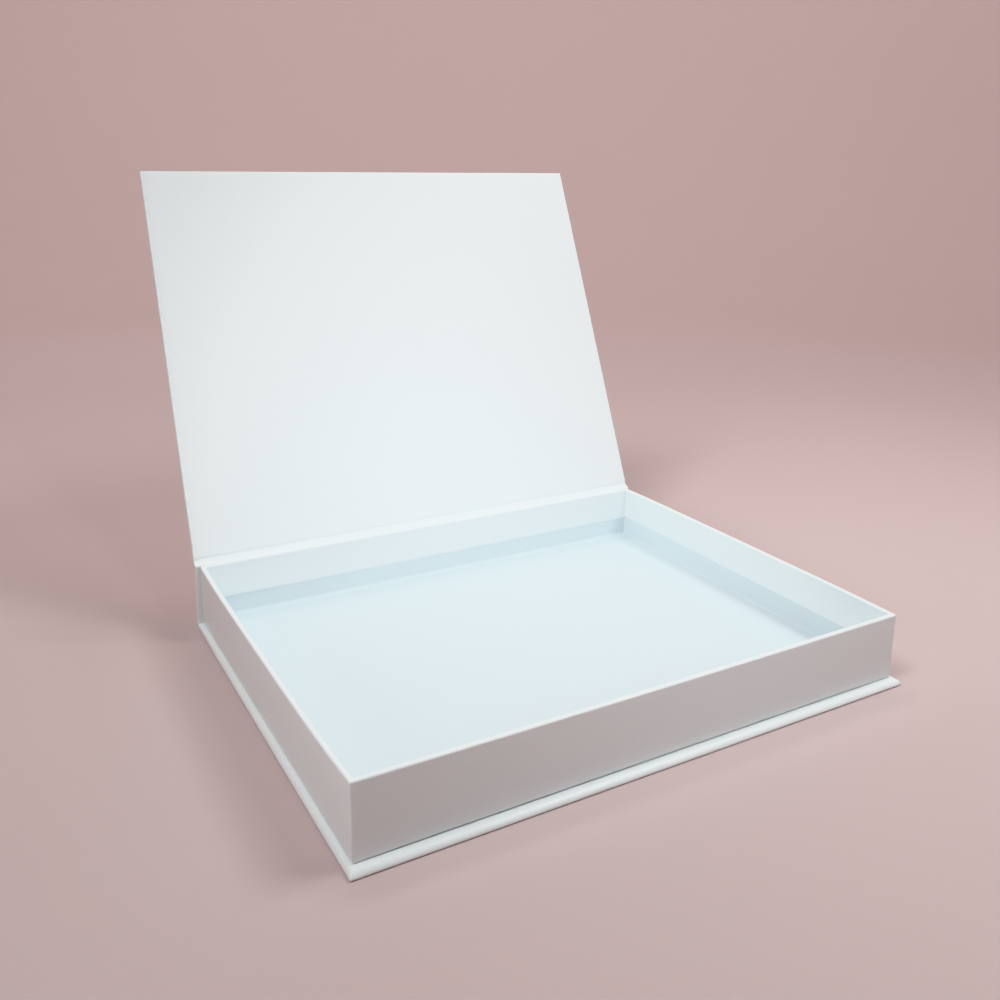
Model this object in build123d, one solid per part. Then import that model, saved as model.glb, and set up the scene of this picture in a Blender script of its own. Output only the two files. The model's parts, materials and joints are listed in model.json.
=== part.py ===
"""Clamshell book box: a paper-wrapped board tray glued into a hinged three-board case, lid open.

Millimetres. The origin is the middle of the tray's plan, at the underside of the base.
X runs along the hinge, -Y is the front where the lid opens, +Y is the spine and +Z is up.
The case is laid out as if closed, and the lid's pieces are then turned open about the hinge axis.
"""
import os
from math import cos, radians, sin

from build123d import *

# Tray, outside sizes over the paper
tray_width = 310.0
tray_depth = 234.0
tray_height = 36.0

# Materials
case_board = 2.5
tray_board = 2.5
cover_paper = 0.2
liner_paper = 0.2
lining_paper = 0.2
tape_paper = 0.1

# How far the case stands past the tray
side_overhang = 2.4
front_overhang = 5.2
closed_lid_back_reach = 3.2

# Folded and pasted edges
case_turn_in = 15.0
wrap_turn_under = 15.0
wrap_turn_down = 20.0
liner_inset = 2.0
liner_flap_overlap = 0.8
liner_flap_side_clearance = 0.5
tape_leg = 12.0

# Joints of the case
spine_foot_gap = 0.3
spine_top_drop = 0.8
closed_lid_clearance = 0.1
groove_bend_inset = 0.3
hinge_axis_behind_tray = 4.8
hinge_axis_above_rim = 1.5
lid_angle = 113.8

# Places worked out from the sizes above
case_width = tray_width + 2 * side_overhang
tray_front = -tray_depth / 2
tray_back = tray_depth / 2
case_front = tray_front - front_overhang
base_board_top = cover_paper + case_board
base_top = base_board_top + cover_paper
rim = base_top + tray_height

wall_foot = base_top + cover_paper
wall_top = rim - cover_paper
shell_width = tray_width - 2 * cover_paper
shell_depth = tray_depth - 2 * cover_paper
inner_width = shell_width - 2 * tray_board
inner_depth = shell_depth - 2 * tray_board
floor_board_top = wall_foot + tray_board
wrap_edge = rim - wrap_turn_down

spine_inner = tray_back + cover_paper
spine_board_outer = spine_inner + case_board
spine_outer = spine_board_outer + cover_paper
spine_foot = base_top + spine_foot_gap
spine_top = rim - spine_top_drop

liner_top = rim + liner_paper
liner_flap_edge = wrap_edge - liner_flap_overlap
lid_inner = liner_top + closed_lid_clearance
lid_turn_in_face = lid_inner + liner_paper
lid_board_inner = lid_turn_in_face + cover_paper
lid_board_outer = lid_board_inner + case_board
lid_outer = lid_board_outer + cover_paper
lid_back = tray_back + closed_lid_back_reach
liner_flap_width = inner_width - 2 * cover_paper - 2 * liner_flap_side_clearance

hinge_y = tray_back + hinge_axis_behind_tray
hinge_z = rim + hinge_axis_above_rim


def slab(width, y_low, y_high, z_low, z_high):
    """Flat block centred on X = 0."""
    middle = Pos(0, (y_low + y_high) / 2, (z_low + z_high) / 2)
    return middle * Box(width, y_high - y_low, z_high - z_low)


def block(width, depth, z_low, z_high):
    """Block centred on the tray's middle."""
    return slab(width, -depth / 2, depth / 2, z_low, z_high)


def opened(piece):
    """Turn a piece of the closed lid to where it stands open."""
    return Pos(0, hinge_y, hinge_z) * Rot(X=-lid_angle) * Pos(0, -hinge_y, -hinge_z) * piece


def opened_point(y, z):
    """Where a point of the closed lid's cross-section lies when it stands open."""
    turn = radians(-lid_angle)
    along, up = y - hinge_y, z - hinge_z
    return (hinge_y + along * cos(turn) - up * sin(turn), hinge_z + along * sin(turn) + up * cos(turn))


def strip(width, outline):
    """Sheet with the given Y-Z outline, along X over the given width."""
    face = make_face(Plane.YZ * Polyline(*outline, close=True))
    return extrude(face, amount=width / 2, both=True)


# Case boards

def base_board():
    return slab(case_width - 2 * cover_paper, case_front + cover_paper, tray_back, cover_paper, base_board_top)


def spine_board():
    return slab(case_width - 2 * cover_paper, spine_inner, spine_board_outer, spine_foot, spine_top)


def closed_lid_board():
    return slab(case_width - 2 * cover_paper, case_front + cover_paper, lid_back, lid_board_inner, lid_board_outer)


def lid_board():
    return opened(closed_lid_board())


# Case cover paper: one sheet round the outside, with its edges turned in

def base_cover_paper():
    """Underside, three edges and a turned-in border on top. The back edge runs on into the spine's cover."""
    wrapped = slab(case_width, case_front, tray_back, 0, base_top)
    window = slab(case_width - 2 * case_turn_in, case_front + case_turn_in, tray_back, base_board_top, base_top)
    return wrapped - base_board() - window


def spine_corner_paper():
    """Quarter bend from the base's underside up to the spine's outer face."""
    reach, rise = spine_outer - tray_back, spine_foot
    ring = Ellipse(reach, rise) - Ellipse(reach - cover_paper, rise - cover_paper)
    quarter = ring & Pos(reach / 2, -rise / 2) * Rectangle(reach, rise)
    bend = Plane.YZ * Pos(tray_back, spine_foot) * quarter
    return extrude(bend, amount=case_width / 2, both=True)


def spine_cover_paper():
    """Outer face and ends, turned in behind the overhangs, with the bend down to the base."""
    wrapped = slab(case_width, tray_back, spine_outer, spine_foot, spine_top)
    window = slab(case_width - 2 * case_turn_in, tray_back, spine_inner, spine_foot, spine_top)
    return wrapped - spine_board() - window + spine_corner_paper()


def lid_cover_paper():
    """Outer face, three edges and a turned-in border inside. The back edge runs on into the hinge."""
    wrapped = slab(case_width, case_front, lid_back, lid_turn_in_face, lid_outer)
    window = slab(
        case_width - 2 * case_turn_in, case_front + case_turn_in, lid_back, lid_turn_in_face, lid_board_inner
    )
    return opened(wrapped - closed_lid_board() - window)


def hinge_cover_paper():
    """Free stretch of the cover between the spine's top and the lid's back edge."""
    outline = [
        (spine_board_outer, spine_top),
        (spine_outer, spine_top),
        opened_point(lid_back, lid_outer),
        opened_point(lid_back, lid_board_outer),
    ]
    return strip(case_width, outline)


# Liner paper: one sheet from inside the lid, over the back wall's rim and down inside the tray

def lid_liner_paper():
    width = case_width - 2 * liner_inset
    return opened(slab(width, case_front + liner_inset, lid_back, lid_inner, lid_turn_in_face))


def hinge_liner_paper():
    """Free stretch of the liner: flat over the spine's top, then up to the lid's back edge."""
    bend_y = spine_board_outer - groove_bend_inset
    outline = [
        (tray_back, rim),
        (tray_back, liner_top),
        (bend_y - liner_paper, liner_top),
        opened_point(lid_back, lid_inner),
        opened_point(lid_back, lid_turn_in_face),
        (bend_y, rim),
    ]
    return strip(liner_flap_width, outline)


def back_wall_liner_paper():
    """Over the back wall's rim and down its inner face."""
    wall_face = inner_depth / 2 - cover_paper
    flap = slab(liner_flap_width, wall_face - liner_paper, wall_face, liner_flap_edge, liner_top)
    over_rim = slab(liner_flap_width, wall_face, tray_back, rim, liner_top)
    return flap + over_rim


# Tray boards

def tray_floor_board():
    return block(inner_width, inner_depth, wall_foot, floor_board_top)


def tray_front_board():
    return slab(shell_width, -shell_depth / 2, -inner_depth / 2, wall_foot, wall_top)


def tray_back_board():
    return slab(shell_width, inner_depth / 2, shell_depth / 2, wall_foot, wall_top)


def tray_side_board(side):
    """End wall between the front and back walls. side is -1 for the left end and 1 for the right."""
    wall = block(tray_board, inner_depth, wall_foot, wall_top)
    return Pos(side * (inner_width + tray_board) / 2, 0, 0) * wall


def corner_tape(side, end):
    """Paper stay folded round an outer corner of the walls. side is -1 left or 1 right, end -1 front or 1 back."""
    height = wall_top - wall_foot
    leg = tape_leg + tape_paper
    corner = Pos(
        side * (shell_width / 2 + tape_paper - leg / 2),
        end * (shell_depth / 2 + tape_paper - leg / 2),
        (wall_foot + wall_top) / 2,
    )
    return corner * Box(leg, leg, height) - block(shell_width, shell_depth, wall_foot, wall_top)


def corner_tapes():
    places = {"front_left": (-1, -1), "front_right": (1, -1), "back_left": (-1, 1), "back_right": (1, 1)}
    return {"corner_tape_" + name: corner_tape(side, end) for name, (side, end) in places.items()}


# Tray papers

def tray_wrap_paper():
    """Outside of the walls, over the rim and down inside, and turned under the floor."""
    outside = block(tray_width, tray_depth, base_top, rim)
    under = block(tray_width - 2 * wrap_turn_under, tray_depth - 2 * wrap_turn_under, base_top, wall_foot)
    walls = block(shell_width, shell_depth, wall_foot, wall_top) - block(inner_width, inner_depth, wall_foot, wall_top)
    below_edge = block(inner_width, inner_depth, wall_foot, wrap_edge)
    hollow = block(inner_width - 2 * cover_paper, inner_depth - 2 * cover_paper, wrap_edge, rim)
    wrap = outside - under - walls - below_edge - hollow
    for tape in corner_tapes().values():
        wrap = wrap - tape
    return wrap


def tray_lining_paper():
    """Floor sheet turned up the walls as far as the wrap's folded edge."""
    sheet = block(inner_width, inner_depth, floor_board_top, wrap_edge)
    hollow = block(
        inner_width - 2 * lining_paper, inner_depth - 2 * lining_paper, floor_board_top + lining_paper, wrap_edge
    )
    return sheet - hollow


def all_pieces():
    pieces = {
        "base_board": base_board(),
        "spine_board": spine_board(),
        "lid_board": lid_board(),
        "base_cover_paper": base_cover_paper(),
        "spine_cover_paper": spine_cover_paper(),
        "hinge_cover_paper": hinge_cover_paper(),
        "lid_cover_paper": lid_cover_paper(),
        "lid_liner_paper": lid_liner_paper(),
        "hinge_liner_paper": hinge_liner_paper(),
        "back_wall_liner_paper": back_wall_liner_paper(),
        "tray_floor_board": tray_floor_board(),
        "tray_front_board": tray_front_board(),
        "tray_back_board": tray_back_board(),
        "tray_left_board": tray_side_board(-1),
        "tray_right_board": tray_side_board(1),
        "tray_wrap_paper": tray_wrap_paper(),
        "tray_lining_paper": tray_lining_paper(),
    }
    pieces.update(corner_tapes())
    return pieces


os.makedirs("parts", exist_ok=True)
for piece_name, piece in all_pieces().items():
    export_step(piece, f"parts/{piece_name}.step")
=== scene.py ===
"""Looks of the clamshell book box: papers folded over pressed boards, on a pale studio floor."""

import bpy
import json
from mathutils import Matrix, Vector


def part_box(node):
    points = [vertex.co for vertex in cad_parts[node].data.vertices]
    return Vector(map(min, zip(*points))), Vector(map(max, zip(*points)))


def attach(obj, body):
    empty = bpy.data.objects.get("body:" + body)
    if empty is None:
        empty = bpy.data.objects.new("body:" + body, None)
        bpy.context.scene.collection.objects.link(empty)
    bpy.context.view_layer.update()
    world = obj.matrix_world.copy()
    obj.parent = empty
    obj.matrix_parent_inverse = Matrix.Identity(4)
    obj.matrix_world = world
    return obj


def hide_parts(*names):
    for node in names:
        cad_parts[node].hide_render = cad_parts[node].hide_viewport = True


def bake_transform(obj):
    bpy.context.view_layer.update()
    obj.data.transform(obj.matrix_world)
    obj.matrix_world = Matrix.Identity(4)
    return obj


bl_info = {
    "name": "Clamshell Book Box",
    "version": (1, 0, 0),
    "blender": (4, 5, 0),
    "location": "View3D > Sidebar > Book Box",
    "description": "Folds the papers of a clamshell book box round its boards and sets up a pale studio",
    "category": "Add Mesh",
}

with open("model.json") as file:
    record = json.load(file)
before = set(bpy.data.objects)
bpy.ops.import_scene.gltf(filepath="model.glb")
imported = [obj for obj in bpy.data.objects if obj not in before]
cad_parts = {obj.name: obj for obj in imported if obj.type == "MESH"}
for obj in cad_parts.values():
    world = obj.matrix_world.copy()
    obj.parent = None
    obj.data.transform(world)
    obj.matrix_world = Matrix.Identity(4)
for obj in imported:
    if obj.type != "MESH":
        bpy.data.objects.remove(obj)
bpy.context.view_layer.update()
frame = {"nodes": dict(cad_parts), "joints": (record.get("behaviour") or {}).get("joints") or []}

import json
from math import ceil, cos, pi, radians, sin, tau

import bmesh
import bpy
from bpy.props import FloatProperty, FloatVectorProperty, PointerProperty
from mathutils import Matrix, Vector

MM = 0.001
FIXED = "tray_and_base"
LID = "lid"

# The hinge, and how far the lid stands open
hinge = frame["joints"][0]
hinge_axis = Vector(hinge["pos_m"])
lid_angle = -radians(hinge["range_deg"][0])
lid_turn = Matrix.Rotation(lid_angle, 4, "X")
closing = Matrix.Translation(hinge_axis) @ lid_turn @ Matrix.Translation(-hinge_axis)
opening = closing.inverted()


def closed_box(node):
    """Lowest and highest corner of a lid node, turned back to where it lies on the closed box."""
    points = [closing @ vertex.co for vertex in frame["nodes"][node].data.vertices]
    low = Vector([min(point[axis] for point in points) for axis in range(3)])
    high = Vector([max(point[axis] for point in points) for axis in range(3)])
    return low, high


# Places that the papers take from the frame
tray_low, tray_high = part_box("tray_wrap_paper")
lining_low, lining_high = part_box("tray_lining_paper")
base_low, base_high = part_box("base_cover_paper")
spine_low, spine_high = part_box("spine_cover_paper")
spine_board_low, spine_board_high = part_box("spine_board")
flap_low, flap_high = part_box("back_wall_liner_paper")
lid_low, lid_high = closed_box("lid_cover_paper")
lid_liner_low, lid_liner_high = closed_box("lid_liner_paper")

rim = tray_high.z
tray_foot = tray_low.z
floor_board_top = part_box("tray_floor_board")[1].z
wrap_edge = lining_high.z
liner_top = flap_high.z
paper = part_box("base_board")[0].z - base_low.z
wall = lining_low.x - tray_low.x + paper

# Hidden borders, as wide as the solids have them
wrap_turn_under = 15 * MM
case_turn_in = 15 * MM
tape_leg = 12 * MM

# The papers stand proud of the lining at their folded edges, from a step just above
folded_edge_top = wrap_edge + 4 * MM
folded_edge_step = wrap_edge + 2.5 * MM

# Rows of points on the flat beside a fold keep its shading tight
beside_fold = 0.35 * MM
# The longest step of the meshes up the walls
wall_stop = 4 * MM
# Smallest radius of a cut sheet's corners
cut_corner = 0.05 * MM


# Small shapes of lines

def arc(centre, radius, start, end, steps):
    """Points of an arc in a plane, from one angle to another in degrees."""
    angles = [radians(start + (end - start) * step / steps) for step in range(steps + 1)]
    return [(centre[0] + radius * cos(angle), centre[1] + radius * sin(angle)) for angle in angles]


def bezier(a, b, c, d, steps):
    """Points of a cubic curve from a to d, pulled by b and c."""
    points = []
    for step in range(steps + 1):
        t = step / steps
        weights = ((1 - t) ** 3, 3 * t * (1 - t) ** 2, 3 * t * t * (1 - t), t ** 3)
        points.append(tuple(sum(w * p[axis] for w, p in zip(weights, (a, b, c, d))) for axis in range(2)))
    return points


def spread(low, high, longest):
    """Even stops between two values, no further apart than the given length, without the two ends."""
    count = max(1, ceil(abs(high - low) / longest))
    return [low + (high - low) * step / count for step in range(1, count)]


def ease(value):
    """0 below 0, 1 above 1 and a soft step between."""
    value = min(max(value, 0.0), 1.0)
    return value * value * (3 - 2 * value)


def corner_arc(x, y, side, end, radius, steps):
    """Round plan corner, anticlockwise, at the sharp corner (x, y); side and end point outwards."""
    centre = (x - side * radius, y - end * radius)
    start = {(-1, -1): 180, (1, -1): 270, (1, 1): 0, (-1, 1): 90}[(side, end)]
    return arc(centre, radius, start, start + 90, steps)


def plan_loop(low, high, inset, round_out, round_in, stop, steps=6):
    """Once round a rounded rectangle in plan, anticlockwise from the front left corner.

    The corners' radius shrinks from round_out with the inset, but never below round_in.
    """
    radius = max(round_out - inset, round_in)
    left, front, right, back = low.x + inset, low.y + inset, high.x - inset, high.y - inset
    corners = [(left, front, -1, -1), (right, front, 1, -1), (right, back, 1, 1), (left, back, -1, 1)]
    arcs = [corner_arc(*corner, radius, steps) for corner in corners]
    # Straight stops are taken from the sharp outside, so that every loop has as many points
    across = spread(low.x, high.x, stop)
    along = spread(low.y, high.y, stop)
    scale_x = (right - left - 2 * radius) / (high.x - low.x)
    scale_y = (back - front - 2 * radius) / (high.y - low.y)
    xs = [left + radius + (x - low.x) * scale_x for x in across]
    ys = [front + radius + (y - low.y) * scale_y for y in along]
    points = arcs[0] + [(x, front) for x in xs]
    points += arcs[1] + [(right, y) for y in ys]
    points += arcs[2] + [(x, back) for x in reversed(xs)]
    points += arcs[3] + [(left, y) for y in reversed(ys)]
    return points


def three_sides(low, high, inset, round_out, round_in, stop, steps=6):
    """Left side from the back, front and right side to the back, as a case board's turned edges run."""
    radius = max(round_out - inset, round_in)
    left, front, right = low.x + inset, low.y + inset, high.x - inset
    scale_y = (high.y - front - radius) / (high.y - low.y)
    scale_x = (right - left - 2 * radius) / (high.x - low.x)
    ys = [front + radius + (y - low.y) * scale_y for y in spread(low.y, high.y, stop)]
    xs = [left + radius + (x - low.x) * scale_x for x in spread(low.x, high.x, stop)]
    points = [(left, high.y)] + [(left, y) for y in reversed(ys)]
    points += corner_arc(left, front, -1, -1, radius, steps)
    points += [(x, front) for x in xs]
    points += corner_arc(right, front, 1, -1, radius, steps)
    points += [(right, y) for y in ys] + [(right, high.y)]
    return points


# Sheets and boards as meshes

def new_piece(name, mesh):
    """Object in the scene with that mesh and name."""
    mesh.name = name
    piece = bpy.data.objects.new(name, mesh)
    bpy.context.scene.collection.objects.link(piece)
    return piece


def finish_edges(piece, angle=38):
    """Take the modifiers into the mesh, then shade it smooth with its sharp edges kept."""
    depsgraph = bpy.context.evaluated_depsgraph_get()
    mesh = bpy.data.meshes.new_from_object(piece.evaluated_get(depsgraph))
    piece.modifiers.clear()
    piece.data = mesh
    mesh.name = piece.name
    mesh.shade_smooth()
    mesh.set_sharp_from_angle(angle=radians(angle))
    return piece


def folded_sheet(name, rows, thickness, closed=False, filled=False, turned=False, even=True):
    """Sheet whose outer face runs through the rows of points, with its thickness on the glued side.

    closed joins the ends of each row, filled covers the space inside the last row, turned puts the thickness
    on the other side, and even keeps it even round a fold.
    """
    shape = bmesh.new()
    grid = [[shape.verts.new(point) for point in row] for row in rows]
    width = len(grid[0])
    for one, two in zip(grid, grid[1:]):
        for column in range(width if closed else width - 1):
            beside = (column + 1) % width
            shape.faces.new((one[column], one[beside], two[beside], two[column]))
    if filled:
        shape.faces.new(grid[-1])
    if turned:
        bmesh.ops.reverse_faces(shape, faces=shape.faces)
    mesh = bpy.data.meshes.new(name)
    shape.to_mesh(mesh)
    shape.free()
    piece = new_piece(name, mesh)
    thick = piece.modifiers.new("paper thickness", "SOLIDIFY")
    thick.thickness = thickness
    thick.offset = -1
    thick.use_even_offset = even
    return finish_edges(piece)


def moved(piece, move):
    """Give every point of a piece its new place."""
    for vertex in piece.data.vertices:
        vertex.co = move(vertex.co)
    piece.data.update()
    return piece


def pressed_board(name, low, high, radius, stop=12 * MM):
    """Board with pressed, rounded edges, cut across so that it can bend."""
    shape = bmesh.new()
    bmesh.ops.create_cube(shape, size=1)
    size = high - low
    for vertex in shape.verts:
        for axis in range(3):
            vertex.co[axis] = (low[axis] + high[axis]) / 2 + vertex.co[axis] * size[axis]
    edges = shape.edges[:]
    bmesh.ops.bevel(
        shape, geom=edges, offset=radius, segments=4, profile=0.5, affect="EDGES", clamp_overlap=True
    )
    for axis in range(3):
        normal = Vector([float(axis == other) for other in range(3)])
        for place in spread(low[axis], high[axis], stop):
            everything = shape.verts[:] + shape.edges[:] + shape.faces[:]
            bmesh.ops.bisect_plane(shape, geom=everything, plane_co=normal * place, plane_no=normal)
    mesh = bpy.data.meshes.new(name)
    shape.to_mesh(mesh)
    shape.free()
    return finish_edges(new_piece(name, mesh))


def dress(piece, body, node, finish):
    """Ride on a body in place of a node, with its finish."""
    piece.data.materials.clear()
    piece.data.materials.append(finish)
    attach(piece, body)
    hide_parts(node)
    return piece


# Finishes

def linked(tree, source, target):
    """Join an output to an input."""
    tree.links.new(target, source)


def noise(tree, place, size, detail, roughness=0.5):
    """Even noise whose lumps are about the given size."""
    texture = tree.nodes.new("ShaderNodeTexNoise")
    texture.inputs["Scale"].default_value = 1 / size
    texture.inputs["Detail"].default_value = detail
    texture.inputs["Roughness"].default_value = roughness
    linked(tree, place, texture.inputs["Vector"])
    return texture.outputs["Fac"]


def between(tree, factor, low, high, from_low=0.3, from_high=0.7):
    """A number that follows the factor from low to high."""
    span = tree.nodes.new("ShaderNodeMapRange")
    for name, value in (("From Min", from_low), ("From Max", from_high), ("To Min", low), ("To Max", high)):
        span.inputs[name].default_value = value
    linked(tree, factor, span.inputs["Value"])
    return span.outputs["Result"]


def blended(tree, factor, one, two):
    """A colour that follows the factor from one colour to the other."""
    mix = tree.nodes.new("ShaderNodeMix")
    mix.data_type = "RGBA"
    mix.inputs["A"].default_value = (*one, 1)
    mix.inputs["B"].default_value = (*two, 1)
    linked(tree, factor, mix.inputs["Factor"])
    return mix.outputs["Result"]


def raised(tree, height, distance, below=None):
    """Surface raised by a height, on top of what is below it."""
    bump = tree.nodes.new("ShaderNodeBump")
    bump.inputs["Strength"].default_value = 1
    bump.inputs["Distance"].default_value = distance
    linked(tree, height, bump.inputs["Height"])
    if below:
        linked(tree, below, bump.inputs["Normal"])
    return bump.outputs["Normal"]


def shaded(colour, share):
    """The colour made darker, or lighter, by a share."""
    return tuple(min(1.0, part * share) for part in colour)


def new_finish(name):
    """Empty material with a shader and the place on the piece."""
    material = bpy.data.materials.new(name)
    material.use_nodes = True
    tree = material.node_tree
    shader = tree.nodes["Principled BSDF"]
    place = tree.nodes.new("ShaderNodeTexCoord").outputs["Object"]
    return material, tree, shader, place


def once(make):
    """Make a finish on its first use and give the same one after that."""
    name = "book_box_" + make.__name__

    def kept():
        return bpy.data.materials.get(name) or make(name)

    return kept


def paper_finish(name, colour, roughness, mottle, fibre, fibre_depth, wave, wave_depth):
    """Paper pasted on board: fine fibres, the board's soft unevenness and faint clouds of shade."""
    material, tree, shader, place = new_finish(name)
    clouds = noise(tree, place, 35 * MM, detail=3)
    clouded = blended(tree, clouds, shaded(colour, 1 - mottle), shaded(colour, 1 + mottle))
    linked(tree, clouded, shader.inputs["Base Color"])
    patches = noise(tree, place, 6 * MM, detail=4)
    linked(tree, between(tree, patches, roughness - 0.05, roughness + 0.05), shader.inputs["Roughness"])
    unevenness = raised(tree, noise(tree, place, wave, detail=2), wave_depth)
    fibres = raised(tree, noise(tree, place, fibre, detail=5, roughness=0.65), fibre_depth, unevenness)
    linked(tree, fibres, shader.inputs["Normal"])
    return material, shader


@once
def laminated_white_paper(name):
    """White cover paper under a thin satin film."""
    colour = bpy.context.scene.book_box_finishes.cover_white
    material, shader = paper_finish(
        name, colour, roughness=0.42, mottle=0.006,
        fibre=0.5 * MM, fibre_depth=0.005 * MM, wave=22 * MM, wave_depth=0.09 * MM,
    )
    shader.inputs["Coat Weight"].default_value = 0.22
    shader.inputs["Coat Roughness"].default_value = 0.34
    return material


@once
def satin_white_paper(name):
    """White satin paper inside the lid and over the back wall."""
    colour = bpy.context.scene.book_box_finishes.liner_white
    material, shader = paper_finish(
        name, colour, roughness=0.48, mottle=0.007,
        fibre=0.6 * MM, fibre_depth=0.005 * MM, wave=28 * MM, wave_depth=0.09 * MM,
    )
    shader.inputs["Coat Weight"].default_value = 0.1
    shader.inputs["Coat Roughness"].default_value = 0.4
    return material


@once
def uncoated_bluish_paper(name):
    """Bluish white uncoated paper on the tray's floor and low on its walls."""
    colour = bpy.context.scene.book_box_finishes.lining_white
    material, shader = paper_finish(
        name, colour, roughness=0.6, mottle=0.008,
        fibre=0.7 * MM, fibre_depth=0.009 * MM, wave=26 * MM, wave_depth=0.1 * MM,
    )
    shader.inputs["Sheen Weight"].default_value = 0.08
    return material


@once
def flecked_greyboard(name):
    """Grey pressed board with dark and pale fibre flecks."""
    colour = bpy.context.scene.book_box_finishes.board_grey
    material, tree, shader, place = new_finish(name)
    pulp = noise(tree, place, 1.1 * MM, detail=6, roughness=0.7)
    flecks = between(tree, pulp, 0, 1, from_low=0.35, from_high=0.68)
    flecked = blended(tree, flecks, shaded(colour, 0.72), shaded(colour, 1.25))
    linked(tree, flecked, shader.inputs["Base Color"])
    linked(tree, between(tree, flecks, 0.78, 0.92, from_low=0, from_high=1), shader.inputs["Roughness"])
    grain = noise(tree, place, 0.9 * MM, detail=6, roughness=0.7)
    linked(tree, raised(tree, grain, 0.04 * MM), shader.inputs["Normal"])
    return material


@once
def ribbed_brown_tape(name):
    """Brown gummed paper with fine ribs across it."""
    colour = bpy.context.scene.book_box_finishes.tape_brown
    material, tree, shader, place = new_finish(name)
    lines = tree.nodes.new("ShaderNodeTexWave")
    lines.bands_direction = "Z"
    # A line about every 0.75 mm
    lines.inputs["Scale"].default_value = 420
    lines.inputs["Distortion"].default_value = 1.5
    linked(tree, place, lines.inputs["Vector"])
    fibres = noise(tree, place, 0.8 * MM, detail=5, roughness=0.6)
    fibrous = blended(tree, fibres, shaded(colour, 0.88), shaded(colour, 1.1))
    linked(tree, fibrous, shader.inputs["Base Color"])
    linked(tree, between(tree, fibres, 0.55, 0.7), shader.inputs["Roughness"])
    linked(tree, raised(tree, lines.outputs["Fac"], 0.008 * MM), shader.inputs["Normal"])
    return material


@once
def studio_floor_finish(name):
    """Matt pale floor."""
    colour = bpy.context.scene.book_box_studio.floor_colour
    material, tree, shader, place = new_finish(name)
    clouds = noise(tree, place, 250 * MM, detail=3)
    clouded = blended(tree, clouds, shaded(colour, 0.99), shaded(colour, 1.01))
    linked(tree, clouded, shader.inputs["Base Color"])
    linked(tree, between(tree, clouds, 0.78, 0.86), shader.inputs["Roughness"])
    shader.inputs["Specular IOR Level"].default_value = 0.2
    return material


# What a user would change

def length(name, description, default):
    """A length in metres."""
    return FloatProperty(
        name=name, description=description, default=default, min=0.0, precision=5,
        subtype="DISTANCE", unit="LENGTH",
    )


def tone(name, description, default):
    """A plain colour."""
    return FloatVectorProperty(
        name=name, description=description, default=default, size=3, min=0.0, max=1.0, subtype="COLOR"
    )


class BookBoxFolds(bpy.types.PropertyGroup):
    """How softly the papers are folded round their boards"""
    case_edge_round: length("Case edge round", "Radius of the case boards' wrapped edges", 0.6 * MM)
    case_corner_round: length("Case corner round", "Radius of the case's corners in plan", 0.5 * MM)
    base_front_ease: length(
        "Base front ease", "How far in the base's front edge curves by its top", 2.2 * MM
    )
    base_side_ease: length(
        "Base side ease", "How far in the base's side edges curve by their top", 1.5 * MM
    )
    spine_end_round: length("Spine end round", "Radius of the spine's ends on the tray's side", 1.3 * MM)
    liner_join: length("Liner join", "How far up the lid the free liner is pressed on smoothly", 0.5 * MM)
    groove_drop: length("Groove drop", "How far below the lid's back edge the liner turns up", 1.2 * MM)
    side_bow: length("Side bow", "How far the side walls' rims bow outwards at their middles", 1.4 * MM)
    side_draft: length("Side draft", "How far the side walls' feet stand inwards", 0.6 * MM)
    back_rim_round: length("Back rim round", "Radius of the liner over the back wall's rim", 1.1 * MM)
    tray_corner_round: length("Tray corner round", "Radius of the tray's upright outer corners", 0.9 * MM)
    inner_corner_round: length(
        "Inner corner round", "Radius of the tray's upright inner corners", 0.35 * MM
    )
    rim_round: length("Rim round", "Radius of the wrap where it turns over the rim", 0.95 * MM)
    foot_round: length("Foot round", "Radius of the wrap where it turns under the tray", 0.8 * MM)
    lining_cove: length("Lining cove", "Radius of the lining where it turns up the walls", 1.8 * MM)
    front_bow: length("Front bow", "How far the front wall's rim bows forward at its middle", 0.7 * MM)
    foot_lift: length("Foot lift", "How far the tray's front edge stands off the base", 0.35 * MM)
    edge_step: length("Edge step", "How far the wrap's folded edge stands proud of the lining", 0.12 * MM)
    groove_depth: length("Groove depth", "How far the liner sinks behind the lid's back edge", 0.45 * MM)
    stop: length("Stop", "Longest step of the meshes along the box", 8 * MM)


class BookBoxFinishes(bpy.types.PropertyGroup):
    """Colours of the papers and boards"""
    cover_white: tone("Cover white", "Laminated cover and wrap paper", (0.875, 0.925, 0.935))
    liner_white: tone("Liner white", "Paper inside the lid and over the back wall", (0.87, 0.915, 0.93))
    lining_white: tone(
        "Lining white", "Paper on the tray's floor and low on its walls", (0.73, 0.81, 0.845)
    )
    board_grey: tone("Board grey", "Pressed greyboard", (0.36, 0.34, 0.31))
    tape_brown: tone("Tape brown", "Gummed paper on the tray's corners", (0.42, 0.28, 0.15))


class BookBoxStudio(bpy.types.PropertyGroup):
    """Camera, floor and lights"""
    floor_colour: tone("Floor colour", "Pale floor and backdrop", (0.61, 0.49, 0.485))
    lens: FloatProperty(name="Lens", description="Focal length", default=35.73, subtype="DISTANCE_CAMERA")
    camera_place: FloatVectorProperty(
        name="Camera place", description="Where the camera stands", default=(-0.27866, -0.43665, 0.27153),
        size=3, subtype="TRANSLATION", unit="LENGTH",
    )
    camera_turn: FloatVectorProperty(
        name="Camera turn", description="How the camera is turned",
        default=(radians(78.574), radians(-0.615), radians(-28.916)),
        size=3, subtype="EULER", unit="ROTATION",
    )
    shift_across: FloatProperty(
        name="Shift across", description="Sideways shift, as a share of the picture's width", default=0.0229
    )
    shift_up: FloatProperty(
        name="Shift up", description="Upward shift, as a share of the picture's width", default=-0.137
    )


# Pieces

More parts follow.
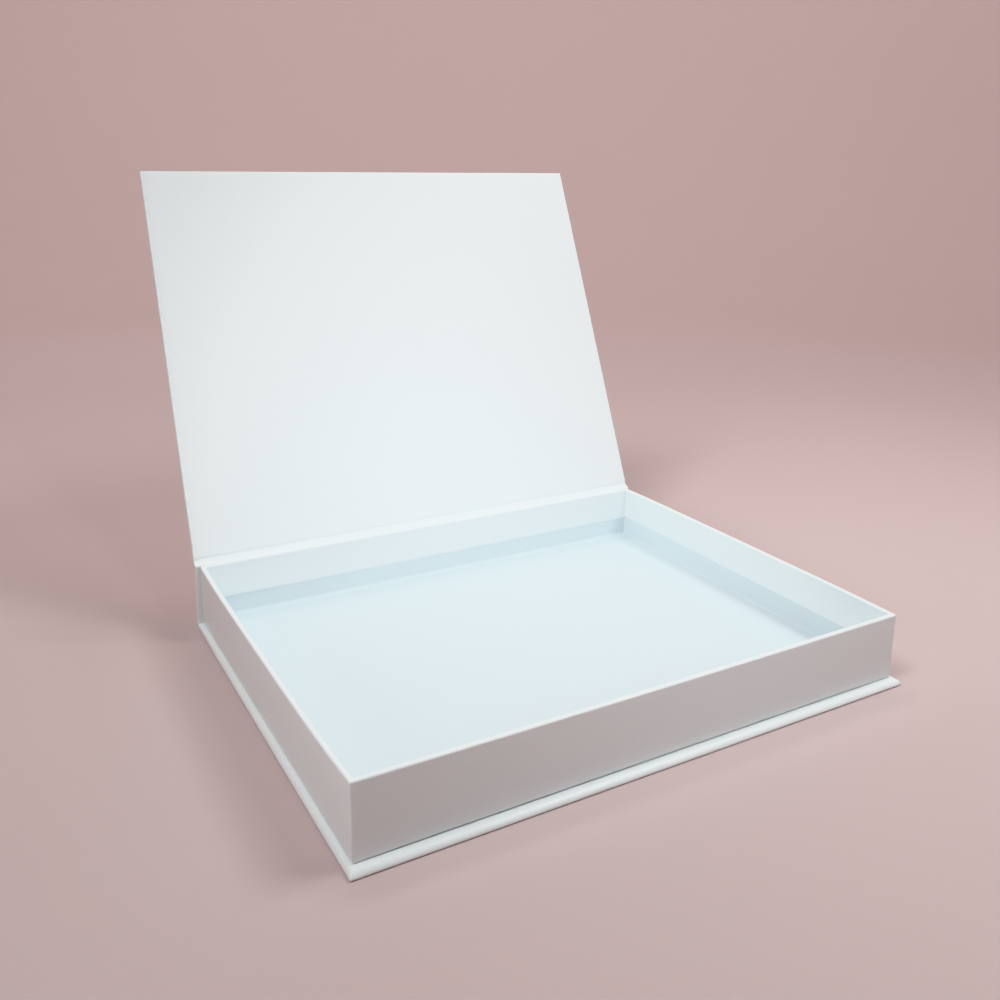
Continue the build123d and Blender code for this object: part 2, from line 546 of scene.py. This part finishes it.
def tray_settled(point):
    """Bow the tray's side and front walls out at their rims, and lift the front wall's foot off the base."""
    folds = bpy.context.scene.book_box_folds
    lifted_reach = 18 * MM
    lifted_share = 0.35
    front_wall_reach = 5 * MM
    front_wall_fade = 1.5 * MM
    rise_power = 1.3
    height = (point.z - tray_foot) / (rim - tray_foot)
    risen = max(0.0, height)
    across = min(1.0, abs(point.x) / tray_high.x)
    along = min(1.0, abs(point.y) / tray_high.y)
    near_front = ease((tray_low.y + lifted_reach - point.y) / lifted_reach)
    on_front_wall = ease((tray_low.y + front_wall_reach - point.y) / front_wall_fade)
    bow = folds.side_bow * (1 - along ** 4) * risen ** rise_power
    settled = point.copy()
    settled.x += (bow - folds.side_draft * (1 - risen)) * point.x / tray_high.x
    settled.y -= folds.front_bow * (1 - across ** 2) * risen ** rise_power * on_front_wall
    settled.z += folds.foot_lift * (1 - across ** 10) * near_front * max(0.0, 1 - height / lifted_share)
    return settled


def at_height(plan, height):
    """Plan points lifted to a height."""
    return [(x, y, height) for x, y in plan]


def base_pressed(point):
    """Curve the base's edges in towards the top, and leave them upright at the spine."""
    folds = bpy.context.scene.book_box_folds
    border = 8 * MM
    fade_to_spine = 40 * MM
    upright = base_low.z + folds.case_edge_round
    risen = (max(0.0, point.z - upright) / (base_high.z - upright)) ** 2
    from_spine = ease((base_high.y - point.y) / fade_to_spine)
    near_side = max(0.0, 1 - (base_high.x - abs(point.x)) / border)
    near_front = max(0.0, 1 - (point.y - base_low.y) / border)
    sideways = folds.base_side_ease * risen * near_side * from_spine
    backwards = folds.base_front_ease * risen * near_front
    return point + Vector((-sideways if point.x > 0 else sideways, backwards, 0))


def lid_opened(point):
    """Turn a point of the closed lid to where it stands open."""
    return opening @ point


class BOOKBOX_OT_boards(bpy.types.Operator):
    """Press the greyboards of the tray and the case"""
    bl_idname = "book_box.boards"
    bl_label = "Boards"

    def execute(self, context):
        folds = context.scene.book_box_folds
        round_by_case = folds.case_edge_round - paper
        round_by_tray = folds.rim_round - paper
        for place in ("floor", "front", "back", "left", "right"):
            node = f"tray_{place}_board"
            board = pressed_board(f"tray_{place}_greyboard", *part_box(node), round_by_tray)
            dress(moved(board, tray_settled), FIXED, node, flecked_greyboard())
        board = pressed_board("base_greyboard", *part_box("base_board"), round_by_case)
        dress(moved(board, base_pressed), FIXED, "base_board", flecked_greyboard())
        board = pressed_board("spine_greyboard", *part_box("spine_board"), folds.spine_end_round - paper)
        dress(board, FIXED, "spine_board", flecked_greyboard())
        board = pressed_board("lid_greyboard", *closed_box("lid_board"), round_by_case)
        dress(moved(board, lid_opened), LID, "lid_board", flecked_greyboard())
        return {"FINISHED"}


class BOOKBOX_OT_corner_tapes(bpy.types.Operator):
    """Fold a gummed paper stay round each outer corner of the tray's boards"""
    bl_idname = "book_box.corner_tapes"
    bl_label = "Corner Tapes"

    def execute(self, context):
        folds = context.scene.book_box_folds
        radius = folds.tray_corner_round - paper / 2
        longest = 6 * MM
        for end, end_sign in (("front", -1), ("back", 1)):
            for side, side_sign in (("left", -1), ("right", 1)):
                node = f"corner_tape_{end}_{side}"
                low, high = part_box(node)
                x_out, x_in = (low.x, high.x) if side_sign < 0 else (high.x, low.x)
                y_out, y_in = (low.y, high.y) if end_sign < 0 else (high.y, low.y)
                bend = corner_arc(x_out, y_out, side_sign, end_sign, radius, 6)
                legs = [(x_out, y_in), (x_in, y_out)]
                first, last = legs if side_sign == end_sign else legs[::-1]
                plan = [first, *bend, last]
                foot, top = low.z + radius, high.z - radius
                rows = [at_height(plan, height) for height in (foot, *spread(foot, top, longest), top)]
                stay = folded_sheet(f"corner_stay_{end}_{side}", rows, high.x - low.x - tape_leg)
                dress(moved(stay, tray_settled), FIXED, node, ribbed_brown_tape())
        return {"FINISHED"}


def tray_rows(outline, folds):
    """Rows once round the tray, one for each inset and height of the outline."""
    rows = []
    for inset, height in outline:
        plan = plan_loop(
            tray_low, tray_high, inset, folds.tray_corner_round, folds.inner_corner_round, folds.stop
        )
        rows.append(at_height(plan, height))
    return rows


class BOOKBOX_OT_tray_wrap(bpy.types.Operator):
    """Wrap the tray's walls: turned under the floor, up the outside, over the rim and down inside"""
    bl_idname = "book_box.tray_wrap"
    bl_label = "Tray Wrap"

    def profile(self, folds):
        """Inset and height from the edge under the floor to the folded edge inside."""
        foot, over = folds.foot_round, folds.rim_round
        middle_under = 6 * MM
        outside_stop = 3 * MM
        outline = [(wrap_turn_under, tray_foot), (middle_under, tray_foot), (foot + beside_fold, tray_foot)]
        outline += arc((foot, tray_foot + foot), foot, 270, 180, 6)
        low_wall = tray_foot + foot + beside_fold
        high_wall = rim - over - beside_fold
        outline += [(0, z) for z in (low_wall, *spread(low_wall, high_wall, outside_stop), high_wall)]
        outline += arc((over, rim - over), over, 180, 90, 8)
        outline += arc((wall - over, rim - over), over, 90, 0, 8)
        outline += [(wall, z) for z in (high_wall, *spread(high_wall, folded_edge_top, wall_stop))]
        proud = wall + folds.edge_step
        return outline + [(wall, folded_edge_top), (proud, folded_edge_step), (proud, wrap_edge)]

    def execute(self, context):
        folds = context.scene.book_box_folds
        wrap = folded_sheet("tray_wrap", tray_rows(self.profile(folds), folds), paper, closed=True)
        dress(moved(wrap, tray_settled), FIXED, "tray_wrap_paper", laminated_white_paper())
        return {"FINISHED"}


class BOOKBOX_OT_tray_lining(bpy.types.Operator):
    """Line the tray's floor and turn the sheet up its walls with a soft cove"""
    bl_idname = "book_box.tray_lining"
    bl_label = "Tray Lining"

    def execute(self, context):
        folds = context.scene.book_box_folds
        floor = floor_board_top + paper
        cove = folds.lining_cove
        beside_cove = 0.6 * MM
        onto_floor = 6 * MM
        lining_stop = 2.5 * MM
        low_wall = floor + cove + beside_cove
        outline = [(wall, z) for z in (wrap_edge, *spread(wrap_edge, low_wall, lining_stop), low_wall)]
        outline += [(wall + cove - x, floor + cove - z) for x, z in arc((0, 0), cove, 0, 90, 8)]
        outline += [(wall + cove + beside_cove, floor), (wall + cove + onto_floor, floor)]
        lining = folded_sheet("tray_lining", tray_rows(outline, folds), paper, closed=True, filled=True)
        moved(lining, tray_settled)
        dress(lining, FIXED, "tray_lining_paper", uncoated_bluish_paper())
        return {"FINISHED"}


def wrapped_edge(thickness, turned_round, outer_round, stops=0):
    """Inset and depth round a wrapped edge, from the face with the turned-in border to the outer face."""
    upright = thickness - turned_round - outer_round
    side = [(0, turned_round + upright * (stop + 1) / (stops + 1)) for stop in range(stops)]
    first = [(turned_round * (1 + x), turned_round * (1 - z)) for x, z in arc((0, 0), 1, 90, 180, 8)]
    second = [
        (outer_round * (1 + x), thickness - outer_round * (1 + z)) for x, z in arc((0, 0), 1, 180, 270, 8)
    ]
    return first + side + second


def case_cover(name, low, high, turned_in, folds):
    """Cover of a case board: a turned-in border, three wrapped edges and the whole outer face.

    turned_in is the height of the border's face, and the outer face is the other one.
    """
    outer = low.z if turned_in > (low.z + high.z) / 2 else high.z
    towards_outer = 1 if outer > turned_in else -1
    radius = folds.case_edge_round
    middle_border = 8 * MM
    edge = wrapped_edge(high.z - low.z, radius, radius, stops=3)
    outline = [(case_turn_in, turned_in), (middle_border, turned_in), (radius + beside_fold, turned_in)]
    outline += [(inset, turned_in + towards_outer * depth) for inset, depth in edge]
    outline += [(radius + beside_fold, outer), (middle_border, outer)]
    rows = []
    for inset, height in outline:
        plan = three_sides(low, high, inset, folds.case_corner_round, cut_corner, folds.stop)
        rows.append(at_height(plan, height))
    return folded_sheet(name, rows, paper, filled=True, turned=towards_outer < 0)


class BOOKBOX_OT_base_cover(bpy.types.Operator):
    """Cover the base board underneath, with its edges turned in on top"""
    bl_idname = "book_box.base_cover"
    bl_label = "Base Cover"

    def execute(self, context):
        folds = context.scene.book_box_folds
        cover = case_cover("base_cover", base_low, base_high, base_high.z, folds)
        dress(moved(cover, base_pressed), FIXED, "base_cover_paper", laminated_white_paper())
        return {"FINISHED"}


class BOOKBOX_OT_lid_cover(bpy.types.Operator):
    """Cover the lid board outside, with its edges turned in inside"""
    bl_idname = "book_box.lid_cover"
    bl_label = "Lid Cover"

    def execute(self, context):
        folds = context.scene.book_box_folds
        cover = case_cover("lid_cover", lid_low, lid_high, lid_low.z, folds)
        moved(cover, lid_opened)
        dress(cover, LID, "lid_cover_paper", laminated_white_paper())
        return {"FINISHED"}


def turned_over_ends(inner, outer, turned_round, folds):
    """Row across the case: a turned-in edge, its wrapped end, the outer face and the same at the other end.

    inner and outer are the (y, z) places of the two faces there.
    """
    inner, outer = Vector(inner), Vector(outer)
    thickness = (outer - inner).length
    outward = (outer - inner) / thickness
    half = thickness / 2
    edge = wrapped_edge(thickness, min(turned_round, half), min(folds.case_edge_round, half))
    end = base_high.x
    side = [(end - case_turn_in, 0), (end - case_turn_in / 2, 0)]
    side += [(end - inset, depth) for inset, depth in edge]
    face_end = side[-1][0]
    face = [(x, thickness) for x in spread(face_end, -face_end, folds.stop)]
    section = side + face + [(-x, depth) for x, depth in reversed(side)]
    return [(x, *(inner + outward * depth)) for x, depth in section]


class BOOKBOX_OT_spine_cover(bpy.types.Operator):
    """Cover the spine board, bent up from the base, with its ends turned in"""
    bl_idname = "book_box.spine_cover"
    bl_label = "Spine Cover"

    def execute(self, context):
        folds = context.scene.book_box_folds
        inner_y, outer_y = spine_low.y, spine_high.y
        foot, top = spine_board_low.z, spine_high.z
        reach, rise = outer_y - inner_y, foot - spine_low.z
        bend_steps = 10
        run_over = 2 * MM
        pairs = []
        for step in range(bend_steps + 1):
            angle = pi / 2 * step / bend_steps
            outer = (inner_y + reach * sin(angle), foot - rise * cos(angle))
            inner = (inner_y, base_high.z + (foot - base_high.z) * step / bend_steps)
            pairs.append((inner, outer))
        above_bend = foot + 0.5 * MM
        for height in (above_bend, *spread(above_bend, top, wall_stop), top):
            pairs.append(((inner_y, height), (outer_y, height)))
        rows = []
        for inner, outer in pairs:
            # The base's edges run over into the spine's
            risen = ease((inner[1] - base_high.z) / run_over)
            turned_round = folds.case_edge_round + (folds.spine_end_round - folds.case_edge_round) * risen
            rows.append(turned_over_ends(inner, outer, turned_round, folds))
        cover = folded_sheet("spine_cover", rows, paper)
        dress(cover, FIXED, "spine_cover_paper", laminated_white_paper())
        return {"FINISHED"}


def opened_place(y, z):
    """Where a (y, z) place of the closed lid lies when it stands open."""
    point = opening @ Vector((0, y, z))
    return point.y, point.z


# The lid's inner back edge, and the directions up the lid and out of its back, as (y, z)
lid_edge = Vector(opened_place(lid_high.y, lid_liner_low.z))
metre_up = Vector(opened_place(lid_high.y - 1, lid_liner_low.z))
up_lid = (metre_up - lid_edge).normalized()
out_lid = Vector((up_lid.y, -up_lid.x))

# Steps over the free stretch at the hinge. The cover's inner and outer faces need as many places there
hinge_steps = 18


def hinge_liner_line(folds):
    """The liner's hollow sweep from the back wall into the groove below the lid, as (y, z) places."""
    foot = Vector((flap_high.y + 0.3 * MM, liner_top))
    groove = lid_edge + out_lid * folds.groove_depth - up_lid * folds.groove_drop
    # It leaves the rim flat, and reaches the groove on a line from near the spine board's outer edge
    leaving = foot + Vector((2.2 * MM, 0))
    turning = Vector((spine_board_high.y - 0.9 * MM, liner_top))
    arriving = groove - (groove - turning).normalized() * 1.2 * MM
    return bezier(tuple(foot), tuple(leaving), tuple(arriving), tuple(groove), hinge_steps - 2)


def beside_line(line, distance):
    """The line's places moved to the right of its run by a distance."""
    places = []
    for before, at, after in zip([line[0], *line], line, [*line[1:], line[-1]]):
        along = (Vector(after) - Vector(before)).normalized()
        places.append((at[0] + distance * along.y, at[1] - distance * along.x))
    return places


class BOOKBOX_OT_hinge_cover(bpy.types.Operator):
    """Lead the cover from the spine's top over the gap to the lid, doubled at its ends"""
    bl_idname = "book_box.hinge_cover"
    bl_label = "Hinge Cover"

    def outer_line(self, start, end):
        """Outer face of the free stretch, from the spine's top under the hinge's axis to the lid."""
        low = (hinge_axis.y, hinge_axis.z - 0.1 * MM)
        reach = 0.9 * MM
        rising = (start[0], start[1] + 1.2 * MM)
        half = hinge_steps // 2
        first = bezier(start, rising, (low[0] - reach, low[1]), low, half)
        second = bezier(low, (low[0] + reach, low[1]), tuple(Vector(end) - up_lid * reach), end, half)
        return first + second[1:]

    def execute(self, context):
        folds = context.scene.book_box_folds
        start = (spine_high.y, spine_high.z)
        end = opened_place(lid_high.y, lid_high.z)
        outer = self.outer_line(start, end)
        # At its ends the cover is doubled over, close below the liner
        layers = 1.6 * paper
        below_liner = beside_line(hinge_liner_line(folds), layers)
        inner = [(spine_low.y, spine_high.z), *below_liner, opened_place(lid_high.y, lid_low.z)]
        rows = []
        for place, (inside, outside) in enumerate(zip(inner, outer)):
            risen = ease(place / hinge_steps)
            turned_round = folds.spine_end_round + (folds.case_edge_round - folds.spine_end_round) * risen
            rows.append(turned_over_ends(inside, outside, turned_round, folds))
        # A little thinner, so that its two layers stay apart in the bend
        cover = folded_sheet("hinge_cover", rows, paper * 0.9, even=False)
        end_x = base_high.x
        moved(cover, lambda point: Vector((min(max(point.x, -end_x), end_x), point.y, point.z)))
        cover.data.materials.append(laminated_white_paper())
        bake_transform(cover)
        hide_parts("hinge_cover_paper")
        return {"FINISHED"}


def across_rows(outline, half_width, stop):
    """Rows across the box, one for each (y, z) place of the outline."""
    xs = [-half_width, *spread(-half_width, half_width, stop), half_width]
    return [[(x, y, z) for x in xs] for y, z in outline]


class BOOKBOX_OT_lid_liner(bpy.types.Operator):
    """Paste the liner inside the lid, over its turned-in border"""
    bl_idname = "book_box.lid_liner"
    bl_label = "Lid Liner"

    def execute(self, context):
        folds = context.scene.book_box_folds
        face, glued = lid_liner_low.z, lid_liner_high.z
        # Inside the turned-in border the liner sinks on to the board, in a soft step
        border = case_turn_in - (lid_liner_low.x - lid_low.x)
        step = 1 * MM
        sunk = face + 0.03 * MM
        corner_round = 0.4 * MM
        outline = [(0, face), (corner_round, face), (border - step, face), (border, (face + sunk) / 2)]
        outline += [(border + step, sunk), (border + 2 * step, sunk)]
        back = Vector(lid_liner_high)
        back.y -= folds.liner_join
        rows = []
        for inset, height in outline:
            plan = three_sides(lid_liner_low, back, inset, corner_round, cut_corner, folds.stop, 4)
            rows.append(at_height(plan, height))
        liner = folded_sheet("lid_liner", rows, glued - face, filled=True, turned=True)
        moved(liner, lid_opened)
        dress(liner, LID, "lid_liner_paper", satin_white_paper())
        return {"FINISHED"}


class BOOKBOX_OT_hinge_liner(bpy.types.Operator):
    """Lead the liner from the back wall over the spine's top and into the groove below the lid"""
    bl_idname = "book_box.hinge_liner"
    bl_label = "Hinge Liner"

    def execute(self, context):
        folds = context.scene.book_box_folds
        start = (flap_high.y, liner_top)
        sweep = hinge_liner_line(folds)
        groove, joined = Vector(sweep[-1]), lid_edge + up_lid * folds.liner_join
        # A soft step out of the groove on to the lid
        leaving = groove + up_lid * 0.3 * MM
        arriving = joined - up_lid * 0.7 * MM
        step = bezier(tuple(groove), tuple(leaving), tuple(arriving), tuple(joined), 10)
        rows = across_rows([start, *sweep, *step[1:]], lid_liner_high.x, folds.stop)
        liner = folded_sheet("hinge_liner", rows, paper)
        fade_across = 1.5 * MM
        fade_back = 1.2 * MM

        def pressed(point):
            """Press the liner's front edge down on to the rim past the flap."""
            past_flap = ease((abs(point.x) - flap_high.x) / fade_across)
            near_rim = ease((start[0] + fade_back - point.y) / fade_back)
            return Vector((point.x, point.y, point.z - paper * past_flap * near_rim))

        moved(liner, pressed)
        liner.data.materials.append(satin_white_paper())
        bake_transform(liner)
        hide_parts("hinge_liner_paper")
        return {"FINISHED"}


class BOOKBOX_OT_back_wall_liner(bpy.types.Operator):
    """Turn the liner over the back wall's rim and paste it down inside the tray"""
    bl_idname = "book_box.back_wall_liner"
    bl_label = "Back Wall Liner"

    def execute(self, context):
        folds = context.scene.book_box_folds
        face = flap_low.y
        radius = folds.back_rim_round
        outline = [(flap_high.y, liner_top), (face + radius + 0.3 * MM, liner_top)]
        outline += arc((face + radius, liner_top - radius), radius, 90, 180, 8)
        high_wall = liner_top - radius - beside_fold
        outline += [(face, z) for z in (high_wall, *spread(high_wall, folded_edge_top, wall_stop))]
        # It stands proud where the wrap does, and its cut edge lies back against the lining
        proud = face - folds.edge_step
        lying_back = 0.05 * MM
        outline += [(face, folded_edge_top), (proud, folded_edge_step), (proud, wrap_edge + 0.5 * MM)]
        outline += [(proud + lying_back, flap_low.z)]
        rows = across_rows(outline, flap_high.x, folds.stop)
        liner = folded_sheet("back_wall_liner", rows, paper, turned=True)
        dress(liner, FIXED, "back_wall_liner_paper", satin_white_paper())
        return {"FINISHED"}


# Studio

# Tints of the lights
COOL = (0.94, 1, 1)
COOLER = (0.91, 1, 1)
WARM = (1, 0.95, 0.93)
ROSE = (1, 0.88, 0.87)
DEEP_ROSE = (1, 0.85, 0.84)
SKY = (0.95, 0.98, 1)
SKY_STRENGTH = 0.012


def aimed_lamp(kind, name, place, aim, watts, tint):
    """Lamp of a kind, aimed at a point and unseen by the camera."""
    light = bpy.data.lights.new(name, kind)
    light.energy = watts
    light.color = tint
    lamp = bpy.data.objects.new(name, light)
    lamp.location = place
    lamp.rotation_euler = (Vector(aim) - Vector(place)).to_track_quat("-Z", "Y").to_euler()
    lamp.visible_camera = False
    bpy.context.scene.collection.objects.link(lamp)
    return light


def soft_panel(name, place, aim, width, depth, watts, tint):
    """Soft rectangular light."""
    light = aimed_lamp("AREA", name, place, aim, watts, tint)
    light.shape = "RECTANGLE"
    light.size = width
    light.size_y = depth


def soft_spot(name, place, aim, cone, radius, watts, tint):
    """Spot with a soft edge and a cone of the given degrees."""
    light = aimed_lamp("SPOT", name, place, aim, watts, tint)
    light.spot_size = radians(cone)
    light.spot_blend = 1
    light.shadow_soft_size = radius


class BOOKBOX_OT_studio(bpy.types.Operator):
    """Set up the camera, the pale floor that sweeps up all round, and the soft lights"""
    bl_idname = "book_box.studio"
    bl_label = "Studio"

    def floor(self):
        """Flat floor that sweeps up all round."""
        middle, flat, sweep, top = 0.3, 1.3, 1.1, 2.6
        under_box = 0.2 * MM
        turns = 72
        outline = [(middle, 0), (flat, 0)]
        outline += arc((flat, sweep), sweep, 270, 360, 24)[1:] + [(flat + sweep, top)]
        angles = [tau * turn / turns for turn in range(turns)]
        shape = bmesh.new()
        rings = [
            [shape.verts.new((reach * cos(angle), reach * sin(angle), height)) for angle in angles]
            for reach, height in outline
        ]
        shape.faces.new(rings[0])
        for one, two in zip(rings, rings[1:]):
            for turn in range(turns):
                beside = (turn + 1) % turns
                shape.faces.new((one[turn], two[turn], two[beside], one[beside]))
        mesh = bpy.data.meshes.new("studio_floor")
        shape.to_mesh(mesh)
        shape.free()
        mesh.shade_smooth()
        floor = bpy.data.objects.new("studio_floor", mesh)
        floor.location.z = base_low.z - under_box
        bpy.context.scene.collection.objects.link(floor)
        mesh.materials.append(studio_floor_finish())

    def camera(self, studio):
        """Camera at the product's three-quarter view."""
        data = bpy.data.cameras.new("camera")
        data.lens = studio.lens
        data.sensor_width = 36  # millimetres, as the lens is
        data.shift_x = studio.shift_across
        data.shift_y = studio.shift_up
        data.clip_start = 0.01
        camera = bpy.data.objects.new("camera", data)
        camera.location = studio.camera_place
        camera.rotation_euler = studio.camera_turn
        bpy.context.scene.collection.objects.link(camera)
        bpy.context.scene.camera = camera

    def sky(self, scene):
        """Faint even light from all round."""
        world = bpy.data.worlds.new("studio_world")
        world.use_nodes = True
        background = world.node_tree.nodes["Background"]
        background.inputs["Color"].default_value = (*SKY, 1)
        background.inputs["Strength"].default_value = SKY_STRENGTH
        scene.world = world

    def lights(self):
        """Softboxes over the box, fills beside it, and spots on the lid and the tray's inner walls."""
        soft_panel(
            "softbox_far_left", place=(-0.8, -0.2, 1.6), aim=(0.05, 0, 0),
            width=0.5, depth=0.7, watts=12.6, tint=COOL,
        )
        soft_panel(
            "softbox_near_right", place=(0.4, -0.2, 0.7), aim=(0.2, -0.1, 0),
            width=0.35, depth=0.25, watts=2.7, tint=COOL,
        )
        soft_panel(
            "fill_right", place=(0.6, -0.5, 0.35), aim=(0.1, -0.1, 0.02),
            width=0.4, depth=0.4, watts=0.14, tint=DEEP_ROSE,
        )
        soft_panel(
            "fill_left", place=(-1.2, -0.3, 0.7), aim=(-0.15, 0, 0.02),
            width=0.6, depth=0.6, watts=0.9, tint=ROSE,
        )
        soft_spot(
            "spot_lid", place=(0.15, -1.2, 0.75), aim=(-0.02, 0.165, 0.143),
            cone=19, radius=0.12, watts=16.3, tint=COOLER,
        )
        soft_spot(
            "spot_back_wall", place=(0.1, -1, 0.55), aim=(0.03, 0.125, 0.07),
            cone=15, radius=0.1, watts=7, tint=COOL,
        )
        soft_spot(
            "spot_back_left", place=(0.9, -0.9, 0.55), aim=(-0.09, 0.12, 0.06),
            cone=15, radius=0.1, watts=12.5, tint=COOL,
        )
        soft_spot(
            "spot_right_wall", place=(-0.9, -0.5, 0.5), aim=(0.14, 0.06, 0.03),
            cone=16, radius=0.1, watts=13, tint=COOL,
        )

    def washes(self):
        """Warm washes on the backdrop, on the side away from the camera."""
        inner, outer = 0.9, 2.4
        up, down = Vector((0, 0, 2.1)), Vector((0, 0, 0.8))
        for number, turn in enumerate((15, 60, 105)):
            out = Vector((cos(radians(turn)), sin(radians(turn)), 0))
            soft_panel(
                f"backdrop_wash_{number + 1}", place=out * inner + up, aim=out * outer + down,
                width=1, depth=0.4, watts=13, tint=WARM,
            )

    def execute(self, context):
        scene = context.scene
        scene.view_settings.view_transform = "Khronos PBR Neutral"
        self.floor()
        self.camera(scene.book_box_studio)
        self.sky(scene)
        self.lights()
        self.washes()
        return {"FINISHED"}


class BOOKBOX_PT_panel(bpy.types.Panel):
    """Folds, finishes and studio of the book box"""
    bl_label = "Book Box"
    bl_idname = "BOOKBOX_PT_panel"
    bl_space_type = "VIEW_3D"
    bl_region_type = "UI"
    bl_category = "Book Box"

    def draw(self, context):
        scene = context.scene
        for name, kind in groups.items():
            group = getattr(scene, name)
            box = self.layout.box()
            box.label(text=name.removeprefix("book_box_").capitalize())
            for setting in kind.__annotations__:
                box.prop(group, setting)
        for operator in operators:
            self.layout.operator(operator.bl_idname)


operators = (
    BOOKBOX_OT_studio,
    BOOKBOX_OT_boards,
    BOOKBOX_OT_corner_tapes,
    BOOKBOX_OT_tray_wrap,
    BOOKBOX_OT_tray_lining,
    BOOKBOX_OT_base_cover,
    BOOKBOX_OT_spine_cover,
    BOOKBOX_OT_lid_cover,
    BOOKBOX_OT_hinge_cover,
    BOOKBOX_OT_lid_liner,
    BOOKBOX_OT_hinge_liner,
    BOOKBOX_OT_back_wall_liner,
)
groups = {
    "book_box_folds": BookBoxFolds,
    "book_box_finishes": BookBoxFinishes,
    "book_box_studio": BookBoxStudio,
}


def register():
    """Add the groups, operators and panel."""
    for kind in (*groups.values(), *operators, BOOKBOX_PT_panel):
        bpy.utils.register_class(kind)
    for name, group in groups.items():
        setattr(bpy.types.Scene, name, PointerProperty(type=group))


def unregister():
    """Take the panel, operators and groups away."""
    for name in groups:
        delattr(bpy.types.Scene, name)
    for kind in reversed((*groups.values(), *operators, BOOKBOX_PT_panel)):
        bpy.utils.unregister_class(kind)


def main():
    """Build every piece and the studio."""
    register()
    for operator in operators:
        group, name = operator.bl_idname.split(".")
        getattr(getattr(bpy.ops, group), name)()


if __name__ == "__main__":
    main()
